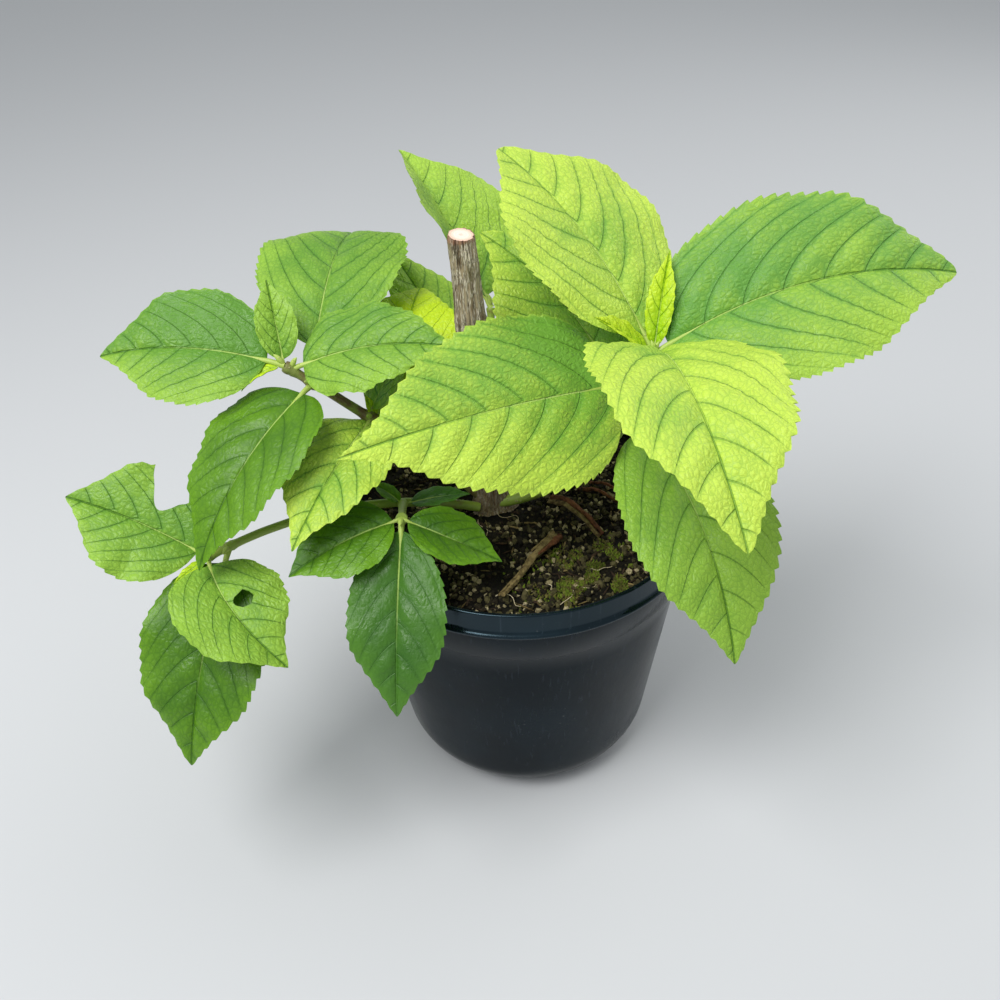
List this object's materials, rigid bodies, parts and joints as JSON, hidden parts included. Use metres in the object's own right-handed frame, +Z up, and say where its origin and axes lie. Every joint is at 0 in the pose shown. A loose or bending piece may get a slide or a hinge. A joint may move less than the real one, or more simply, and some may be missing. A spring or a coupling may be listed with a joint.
{
  "type": "potted hydrangea shrub",
  "caption": "Young leafy hydrangea in a round nursery pot: a cut woody stem with green side shoots of broad toothed leaves.",
  "frame": {"origin": "centre of the pot's flat underside, on the ground", "axes": "+Z up along the pot's axis; +X to the right and +Y to the back as the plant is seen from its front"},
  "size_m": [0.3935, 0.2308, 0.2966],
  "materials": {
    "pot_plastic": "glossy dark navy, lightly dusty",
    "soil": "matte, gritty",
    "bark": "rough grey-brown bark",
    "green_stem": "satin green bark",
    "right_leaves": "satin, light yellow-green",
    "left_leaves": "satin, mid green",
    "low_leaves": "satin, deep green",
    "front_leaves": "satin, deep green",
    "back_leaves": "satin, yellow-green"
  },
  "bodies": {
    "root": {"pot": "pot_plastic", "soil": "soil", "trunk": "bark", "right_shoot": "green_stem", "left_shoot": "green_stem", "low_shoot": "green_stem", "back_shoot": "green_stem", "right_foliage": "right_leaves", "left_foliage": "left_leaves", "low_foliage": "low_leaves", "front_foliage": "front_leaves", "back_foliage": "back_leaves"}
  },
  "joints": []
}
